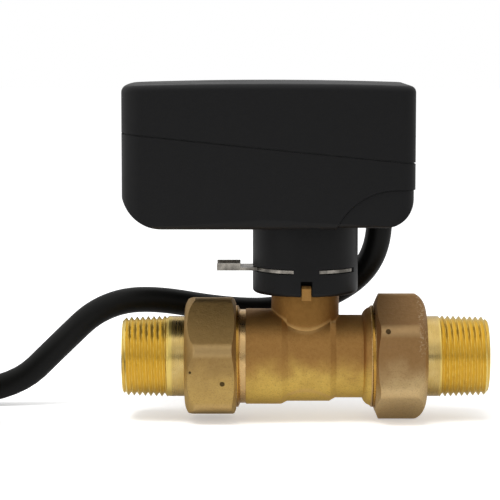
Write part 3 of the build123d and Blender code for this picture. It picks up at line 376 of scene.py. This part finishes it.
# %% Circuit board
def board_finish():
    """Green lacquer, lighter and raised over the tracks."""
    paint = Paint("solder_mask")
    flat = paint.node("ShaderNodeCombineXYZ", inputs={0: paint.x, 1: paint.z})
    sizes = {"Scale": 0.45, "Mortar Size": 0.08, "Mortar Smooth": 0.1}
    tracks = paint.node("ShaderNodeTexBrick", {"offset": 0.5}, {"Vector": flat, **sizes}, out="Fac")
    return paint.finish(
        Base_Color=paint.mix((0.02, 0.14, 0.05), (0.05, 0.27, 0.1), tracks), Roughness=0.32,
        Normal=paint.bump(tracks, 0.03),
    )


FINISHES["board_green"] = board_finish()
print("board finish", FINISHES["board_green"].name)

# %% [markdown]
# ## Finishes onto the solids
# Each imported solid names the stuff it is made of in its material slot. Setting materials by hand on fifty
# pieces invites slips, so a loop looks each name up and says which it couldn't find.

# %% Give each CAD node the finish of its slot
for name, piece in nodes.items():
    for place in piece.material_slots:
        slot = place.material.name.split(".")[0] if place.material else ""
        if slot in FINISHES:
            place.material = FINISHES[slot]
        else:
            print("no finish for", name, slot)

# %% [markdown]
# ## Wound pipe threads
# A pipe thread is a groove wound round a slight cone. It could be swept along a helix, but a sweep leaves
# ragged ends. Here a flat grid is rolled up instead: how far a point has come along the axis, less how far
# it has come round, tells whether it lies on a crest or in the groove. The same sum fades the thread out
# at the shank and turns the lead-in at the pipe's end. The tree is built once and both tails use it.

# %% Thread tree
COLUMNS, ROWS = 200, 96  # steps along the thread and round it
PIPE = {  # a three quarter inch pipe thread, in metres
    "Pitch": 0.001814, "Depth": 0.00116, "Crest": 0.0133, "Taper": 1 / 32, "Shank": 0.0131, "Lead": 0.0013,
}


def thread_inputs(group):
    """Add the tree's named inputs, and give their sockets by name."""
    sizes = {**PIPE, "Side": 1.0, "Start": 0.044, "Length": 0.0155}
    for name, value in sizes.items():
        group.interface.new_socket(name, in_out="INPUT", socket_type="NodeSocketFloat").default_value = value
    for name, value in (("Columns", COLUMNS), ("Rows", ROWS + 1)):
        group.interface.new_socket(name, in_out="INPUT", socket_type="NodeSocketInt").default_value = value
    group.interface.new_socket("Material", in_out="INPUT", socket_type="NodeSocketMaterial")
    tree = Tree(group)
    source = tree.node("NodeGroupInput").out.node
    return tree, {out.name: Socket(tree, out) for out in source.outputs if out.name}


def thread_tree():
    """Geometry nodes: a grid rolled round X with a thread cut into it."""
    group = bpy.data.node_groups.new("wound_thread", "GeometryNodeTree")
    group.interface.new_socket("Geometry", in_out="OUTPUT", socket_type="NodeSocketGeometry")
    tree, value = thread_inputs(group)
    sizes = {"Size X": 1.0, "Size Y": 1.0, "Vertices X": value["Columns"], "Vertices Y": value["Rows"]}
    grid = tree.node("GeometryNodeMeshGrid", inputs=sizes)
    across, around, _ = tree.split(tree.node("GeometryNodeInputPosition"))
    along = (across + 0.5) * value["Length"]
    turn = around + 0.5
    x = value["Side"] * (value["Start"] + along)
    phase = tree.maths("FRACT", x / value["Pitch"] - turn + 40.0)  # 40 turns keep the sum above zero
    peak = 1.0 - tree.maths("ABSOLUTE", phase - 0.5) * 2.0
    cut = tree.node("ShaderNodeMapRange", inputs={0: peak, 1: 0.08, 2: 0.97, 3: 1.0, 4: 0.0})
    crest = value["Crest"] - along * value["Taper"]
    shown = tree.ease(along, 0.0, value["Pitch"] * 0.7)
    radius = value["Shank"] + (crest - value["Depth"] * cut - value["Shank"]) * shown
    lead_in = crest - value["Lead"] + (value["Length"] - along)
    radius = tree.maths("MINIMUM", radius, lead_in)
    angle = turn * (2 * math.pi)
    rolled_up = {0: x, 1: radius * tree.maths("COSINE", angle), 2: radius * tree.maths("SINE", angle)}
    spot = tree.node("ShaderNodeCombineXYZ", inputs=rolled_up)
    rolled = tree.node("GeometryNodeSetPosition", inputs={"Geometry": grid, "Position": spot})
    joined = tree.node("GeometryNodeMergeByDistance", inputs={"Geometry": rolled, "Distance": 1e-6})
    real = tree.node("GeometryNodeRealizeInstances", inputs={"Geometry": joined})
    made = tree.node("GeometryNodeSetMaterial", inputs={"Geometry": real, "Material": value["Material"]})
    tree.node("NodeGroupOutput", inputs={0: made})
    return group


threads = thread_tree()
print("thread tree nodes", len(threads.nodes))


# %% A mesh from a tree
def evaluated(thing):
    """A plain mesh of an object with its modifiers worked out. The object itself goes."""
    bpy.context.view_layer.update()
    mesh = bpy.data.meshes.new_from_object(thing.evaluated_get(bpy.context.evaluated_depsgraph_get()))
    bpy.data.objects.remove(thing)
    return mesh


def grown(name, group, **values):
    """A plain mesh from a geometry tree, with a value for each of its named inputs."""
    seed = bpy.data.objects.new(name, bpy.data.meshes.new(name))
    bpy.context.scene.collection.objects.link(seed)
    modifier = seed.modifiers.new("tree", "NODES")
    modifier.node_group = group
    for item in group.interface.items_tree:
        if item.in_out == "INPUT" and item.name in values:
            modifier[item.identifier] = values[item.name]
    return evaluated(seed)


# %% [markdown]
# ## Tails
# The wound grid is open at both ends. The rest of the tail is a plain turned shape, so its outline is spun
# with as many steps as the grid has rows, and the two meet point on point and are welded.


# %% Spinning, placing and welding
def spun(outline, steps=ROWS):
    """A mesh of an outline of (x, radius) points turned about X."""
    angles = [2 * math.pi * k / steps for k in range(steps)]
    points = [(x, r * math.cos(a), r * math.sin(a)) for x, r in outline for a in angles]
    faces = [
        (i * steps + k, i * steps + (k + 1) % steps, (i + 1) * steps + (k + 1) % steps, (i + 1) * steps + k)
        for i in range(len(outline) - 1) for k in range(steps)
    ]
    mesh = bpy.data.meshes.new("spun")
    mesh.from_pydata(points, [], faces)
    return mesh


def placed(name, mesh, material):
    """An object of a finished mesh, in one material. It prints the edges that don't join two faces."""
    mesh.materials.clear()
    mesh.materials.append(material)
    mesh.name = name
    piece = bpy.data.objects.new(name, mesh)
    bpy.context.scene.collection.objects.link(piece)
    work = bmesh.new()
    work.from_mesh(mesh)
    open_edges = sum(1 for edge in work.edges if not edge.is_manifold)
    work.free()
    print(name, "faces", len(mesh.polygons), "open edges", open_edges)
    return piece


def welded(name, meshes, material, angle=40):
    """One closed object from several meshes, smooth but for corners sharper than the angle."""
    work = bmesh.new()
    for mesh in meshes:
        work.from_mesh(mesh)
    bmesh.ops.remove_doubles(work, verts=work.verts, dist=2e-6)
    bmesh.ops.recalc_face_normals(work, faces=work.faces)
    mesh = bpy.data.meshes.new(name)
    work.to_mesh(mesh)
    work.free()
    mesh.polygons.foreach_set("use_smooth", [True] * len(mesh.polygons))
    mesh.set_sharp_from_angle(angle=math.radians(angle))
    return placed(name, mesh, material)


# %% The two tails
COLLAR_WIDTH, COLLAR_RADIUS, COLLAR_EDGE = 0.0039, 0.0165, 0.0003
BORE, BORE_EDGE = 0.0095, 0.0005


def tail(side, node, length):
    """A tailpiece with its pipe thread, in place of the solid with a plain thread zone."""
    low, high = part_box(node)
    collar, end = sorted((abs(low[0]), abs(high[0])))
    start = end - length
    wound = grown(
        node + "_thread", threads, Side=float(side), Start=start, Length=length, **PIPE,
        Columns=COLUMNS, Rows=ROWS + 1, Material=tail_paint,
    )
    tip = PIPE["Crest"] - length * PIPE["Taper"] - PIPE["Lead"]
    shoulder = collar + COLLAR_WIDTH
    outline = [
        (start, PIPE["Shank"]), (shoulder, PIPE["Shank"]), (shoulder, COLLAR_RADIUS - COLLAR_EDGE),
        (shoulder - COLLAR_EDGE, COLLAR_RADIUS), (collar + COLLAR_EDGE, COLLAR_RADIUS),
        (collar, COLLAR_RADIUS - COLLAR_EDGE), (collar, BORE), (end - BORE_EDGE, BORE),
        (end, BORE + BORE_EDGE), (end, tip),
    ]
    turned = spun([(side * x, radius) for x, radius in outline])
    return welded(node.replace("tailpiece", "threaded_tail"), [wound, turned], tail_paint)


for side, node, length in ((-1, "tailpiece_left", 0.0152), (1, "tailpiece_right", 0.0163)):
    piece = tail(side, node, length)
    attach(piece, ROOT)
    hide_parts(node)

# %% [markdown]
# ## Turned nuts
# A union nut stops wherever it comes tight. In the picture each hexagon leans the other way than in the
# solid model. A hexagon is its own mirror image, so a mirrored copy is the same nut in its other place,
# and its bore stays on the axis. Mirroring turns every face inside out, so each face is listed backwards,
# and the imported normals, which keep the round corners soft and the flats flat, are mirrored with it.
# Each nut rides on its own body, because it turns on its tail.


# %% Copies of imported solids
def copied(node, name, mirror=(1.0, 1.0, 1.0)):
    """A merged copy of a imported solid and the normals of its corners, mirrored if asked."""
    source, matrix = nodes[node].data, nodes[node].matrix_world
    mirror, turn = np.array(mirror), matrix.to_3x3()
    step = -1 if mirror.prod() < 0 else 1
    places, order = {}, []
    for corner in source.vertices:
        point = np.array(matrix @ corner.co) * mirror
        order.append(places.setdefault(tuple(np.round(point, 7)), len(places)))
    faces, normals = [], []
    for face in source.polygons:
        loops = list(face.loop_indices)[::step]
        corners = [order[source.loops[k].vertex_index] for k in loops]
        if len(set(corners)) == len(corners):
            faces.append(corners)
            normals += [np.array(turn @ source.corner_normals[k].vector) * mirror for k in loops]
    mesh = bpy.data.meshes.new(name)
    mesh.from_pydata(list(places), [], faces)
    mesh.polygons.foreach_set("use_smooth", [True] * len(mesh.polygons))
    return mesh, normals


# %% The two nuts
FRONT_TO_BACK = (1.0, -1.0, 1.0)

for node, material in (("union_nut_left", nut_paint_left), ("union_nut_right", nut_paint_right)):
    name = node.replace("union", "tightened")
    mesh, normals = copied(node, name, FRONT_TO_BACK)
    mesh.normals_split_custom_set(normals)
    piece = placed(name, mesh, material)
    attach(piece, node)
    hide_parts(node)

# %% [markdown]
# ## The lug without its foot
# The lug that stops the casing from turning grows out of the boss. In the solid model it has a foot down
# the front of the boss, which the picture doesn't have. A block whose back is hollowed to the boss's own
# round is cut away, so that nothing stays but the round itself and a flat underside.

# %% The block that is cut away
SKIN = 0.01102  # a hair outside the boss, so that the cut doesn't graze its round
HALF_WIDTH, FRONT, FOOT, UNDERSIDE = 0.0024, -0.018, 0.0135, 0.0202


def foot_block():
    """A block over the lug's foot, from its front to the boss's round."""
    back = [(x, -math.sqrt(SKIN**2 - x**2)) for x in np.linspace(HALF_WIDTH, -HALF_WIDTH, 13)]
    ring = [(-HALF_WIDTH, FRONT), (HALF_WIDTH, FRONT), *back]
    count = len(ring)
    points = [(x, y, z) for z in (FOOT, UNDERSIDE) for x, y in ring]
    sides = [(k, (k + 1) % count, count + (k + 1) % count, count + k) for k in range(count)]
    block = bpy.data.meshes.new("foot_block")
    block.from_pydata(points, [], [tuple(range(count))[::-1], tuple(range(count, 2 * count)), *sides])
    return block


def less(source, block):
    """What a boolean leaves of a mesh when a block is taken away."""
    whole, cutter = bpy.data.objects.new("whole", source), bpy.data.objects.new("cutter", block)
    for thing in (whole, cutter):
        bpy.context.scene.collection.objects.link(thing)
    cut = whole.modifiers.new("cut", "BOOLEAN")
    cut.operation, cut.solver, cut.object = "DIFFERENCE", "EXACT", cutter
    mesh = evaluated(whole)
    bpy.data.objects.remove(cutter)
    return mesh


# %% [markdown]
# ## Keeping the round look after a cut
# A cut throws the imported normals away, and a guess from the angle between faces makes soft smears. So each
# corner of the cut mesh looks up the corner of the uncut solid that lies in the same place and faces the
# same way. New corners take the boss's round where they lie on it, and their own face elsewhere.

# %% Casting with a plain lug
SAME_PLACE, ON_SKIN = 2e-6, 6e-5


def looked_up(mesh, source, normals):
    """A normal for each corner of a cut mesh, from the uncut source and the normals of its corners."""
    tree = kdtree.KDTree(len(source.loops))
    for loop in source.loops:
        tree.insert(source.vertices[loop.vertex_index].co, loop.index)
    tree.balance()
    owner = [face.normal for face in source.polygons for _ in face.loop_indices]
    found = []
    for face in mesh.polygons:
        for k in face.loop_indices:
            spot = mesh.vertices[mesh.loops[k].vertex_index].co
            near = [i for _, i, _ in tree.find_range(spot, SAME_PLACE)]
            best = max(near, key=lambda i: owner[i].dot(face.normal), default=None)
            radius = math.hypot(spot.x, spot.y)
            if best is not None and owner[best].dot(face.normal) > 0.97:
                found.append(normals[best])
            elif abs(radius - SKIN) < ON_SKIN and abs(face.normal.z) < 0.1:
                found.append(np.array((spot.x, spot.y, 0.0)) / radius)
            else:
                found.append(face.normal)
    return found


source, normals = copied("valve_body", "whole_casting")
mesh = less(source, foot_block())
found = looked_up(mesh, source, normals)
mesh.polygons.foreach_set("use_smooth", [True] * len(mesh.polygons))
mesh.normals_split_custom_set(found)
piece = placed("plain_lug_casting", mesh, body_paint)
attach(piece, ROOT)
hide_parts("valve_body")

# %% [markdown]
# ## The cable
# A cable is one smooth line with a thickness. The line is a quadratic spline whose control points are the
# corners of the route, so it bends gently past each corner. Beyond the left edge of the picture the rest
# of the length lies in a coil, which winds inward, climbs, winds outward again and climbs once more.
# Corners at half steps on a slightly larger circle make the spline touch the circle itself.

# %% The line of the cable, in millimetres
ROUTE = [
    (24.9, 14.0, 43.9), (24.9, 14.0, 33.6), (15.6, 19.4, 20.8), (-5.0, 25.5, 12.0), (-25.0, 25.8, 11.6),
    (-53.5, 23.5, 16.8), (-69.0, 21.5, 13.2), (-80.5, 22.3, 2.3), (-99.2, 25.0, -16.29),
    (-140.4, 25.0, -16.29),
]
THICKNESS = 8.6
CENTRE_X, CENTRE_Y, LAY = -149.0, -19.8, -16.29  # the coil's middle, and the height that it lies at
OUTER, SPACING = 44.8, 9.2  # the coil's outer radius, and the room that a turn takes
STEPS = 16  # corners in a turn


def coil_line(turn):
    """The coil's radius and height after some turns."""
    t = (turn - 1.0) / 0.5 if turn < 1.5 else (turn - 2.5) / 0.5  # how far it is through a climb
    climb, sway = 3 * t * t - 2 * t**3, (t - t * t) * 0.5
    if turn <= 1.0:
        return OUTER - SPACING * turn, 0.0
    if turn < 1.5:
        return OUTER - SPACING * (1.0 + sway), SPACING * climb
    if turn <= 2.5:
        return OUTER - SPACING * (2.5 - turn), SPACING
    return OUTER + SPACING * sway, SPACING * (1.0 + climb)


points = list(ROUTE)
for k in range(3 * STEPS):
    turn = (k + 0.5) / STEPS
    radius, height = coil_line(turn)
    angle = math.pi / 2 + 2 * math.pi * turn
    reach = radius / math.cos(math.pi / STEPS)
    points.append((CENTRE_X + reach * math.cos(angle), CENTRE_Y + reach * math.sin(angle), LAY + height))
for x in (CENTRE_X, CENTRE_X - THICKNESS):
    points.append((x, CENTRE_Y + OUTER, LAY + 2 * SPACING))
print("cable control points", len(points))

# %% Cable in one spline
curve = bpy.data.curves.new("mains_cable", "CURVE")
curve.dimensions = "3D"
curve.bevel_depth = THICKNESS / 2 * MM
curve.bevel_resolution = 7
curve.resolution_u = 8
curve.use_fill_caps = True
spline = curve.splines.new("NURBS")
spline.points.add(len(points) - 1)
for place, point in zip(spline.points, points):
    place.co = (*[c * MM for c in point], 1.0)
spline.order_u = 3
spline.use_endpoint_u = True
curve.materials.append(jacket_paint)
cable = bpy.data.objects.new("mains_cable", curve)
bpy.context.scene.collection.objects.link(cable)
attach(cable, ROOT)
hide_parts("cable_run", "cable_coil")
print("cable thickness in mm", THICKNESS)

# %% [markdown]
# ## Ground
# The picture is a catalogue cut-out: white all round, with the valve on a pale ground. The camera sees a
# ground that glows to white but for the shadows on it. The brass mirrors the same ground, and there a
# darker one looks right, with one darker stripe in front of the valve for the line along the tubes.

# %% Ground
STRIPE = -44.0  # millimetres in front of the pipe's axis
GROUND_LEVEL = -20.59 * MM


def ground():
    """A pale plain that only the camera sees as white."""
    paint = Paint("pale_ground")
    worn = paint.noise(size=60.0)
    seen = paint.node("ShaderNodeLightPath", out="Is Camera Ray")
    mirrored = paint.node("ShaderNodeLightPath", out="Is Glossy Ray")
    stripe = paint.near(paint.y, STRIPE, 2.5, 1.0)
    plain = paint.mix((0.9, 0.9, 0.9), (0.86, 0.86, 0.86), worn)
    colour = paint.mix(plain, (0.3, 0.3, 0.3), mirrored * (0.55 + stripe * 0.3))
    base = paint.node("ShaderNodeBsdfDiffuse", inputs={"Color": colour})
    strength = seen * 0.4 + mirrored * 0.12
    glow = paint.node("ShaderNodeEmission", inputs={"Color": (1, 1, 1, 1), "Strength": strength})
    both = paint.node("ShaderNodeAddShader", inputs={0: base, 1: glow})
    paint.node("ShaderNodeOutputMaterial", inputs={"Surface": both})
    mesh = bpy.data.meshes.new("ground")
    corners = [(x, y, GROUND_LEVEL) for x, y in ((-2.5, -0.6), (2.5, -0.6), (2.5, 4.0), (-2.5, 4.0))]
    mesh.from_pydata(corners, [], [(0, 1, 2, 3)])
    mesh.materials.append(paint.material)
    floor = bpy.data.objects.new("ground", mesh)
    bpy.context.scene.collection.objects.link(floor)


ground()
print("ground level in mm", round(GROUND_LEVEL / MM, 2))

# %% [markdown]
# ## The room that the brass mirrors
# Polished tubes show the room more than their own colour. A broad light hangs above, weaker ones stand on
# the left, the right and behind, and the side behind the camera is dark: that draws the dark line along
# every bright tube and keeps the black casing black. Lamps could do it, but each would light the casing
# too. So the room is drawn in the world, and only mirrored rays see it.


# %% Studio that the mirrors see
def studio():
    """A world that is white to the camera, a drawn room to mirrors, and an even light to the rest."""
    world = bpy.data.worlds.new("studio")
    bpy.context.scene.world = world
    world.use_nodes = True
    tree = Tree(world.node_tree)
    world.node_tree.nodes.clear()
    x, y, z = tree.split(tree.node("ShaderNodeTexCoord", out="Generated"))  # which way a ray goes
    gap = tree.near(z, 0.52, 0.03, 0.01) * tree.ease(y, 0.0, -0.5)
    above = tree.ease(z, 0.18, 0.22) * tree.ease(z, 0.5, 0.9, 0.68, 1.05) * (1.0 - gap * 0.5)
    below = tree.ease(z, 0.07, 0.04) * 0.4
    left = tree.ease(x, -0.45, -0.8) * tree.ease(z, -0.5, 0.0)
    right = tree.ease(x, 0.5, 0.85) * tree.ease(z, -0.3, 0.1) * 0.4
    back = tree.ease(y, 0.1, 0.5) * 0.45
    room = above
    for patch in (below, left, right, back):
        room = tree.maths("MAXIMUM", room, patch)
    seen = tree.node("ShaderNodeLightPath", out="Is Camera Ray")
    mirrored = tree.node("ShaderNodeLightPath", out="Is Glossy Ray")
    level = seen + mirrored * (room + 0.06) + (1.0 - seen - mirrored) * 0.75
    light = tree.node("ShaderNodeBackground", inputs={"Color": (1, 1, 1, 1), "Strength": level})
    tree.node("ShaderNodeOutputWorld", inputs={"Surface": light})
    print("studio nodes", len(world.node_tree.nodes))


studio()


# %% A soft lamp overhead
def lamp(name, place, aim, size, power):
    """A rectangular lamp that shines from a place to an aim, and that mirrors don't see."""
    data = bpy.data.lights.new(name, "AREA")
    data.shape, data.size, data.size_y, data.energy = "RECTANGLE", *size, power
    thing = bpy.data.objects.new(name, data)
    bpy.context.scene.collection.objects.link(thing)
    thing.location = place
    thing.visible_glossy = False
    x, y, z = np.array(aim) - np.array(place)
    thing.rotation_euler = (math.atan2(math.hypot(x, y), -z), 0.0, math.atan2(y, x) - math.pi / 2)
    print(name, "watts", power)


lamp("overhead_lamp", place=(-0.15, -0.25, 0.75), aim=(0.0, 0.0, 0.02), size=(0.5, 0.4), power=6.0)

# %% [markdown]
# ## Camera
# The picture was taken from the front with a long lens, a little from above: what lies further back
# hardly shrinks, and a sliver of the casing's top shows. A lens of 155 mm from 0.7 m away does the same.

# %% Camera
TILT = 5.8  # degrees above level
lens = bpy.data.cameras.new("catalogue_camera")
lens.sensor_width, lens.lens = 36.0, 154.73
lens.clip_start, lens.clip_end = 0.01, 20.0
camera = bpy.data.objects.new("catalogue_camera", lens)
bpy.context.scene.collection.objects.link(camera)
camera.location = (-0.018, -0.6964, 0.1056)
camera.rotation_euler = (math.radians(90 - TILT), 0.0, 0.0)
bpy.context.scene.camera = camera
bpy.context.scene.view_settings.view_transform = "Standard"
print("lens in mm", round(lens.lens, 2))
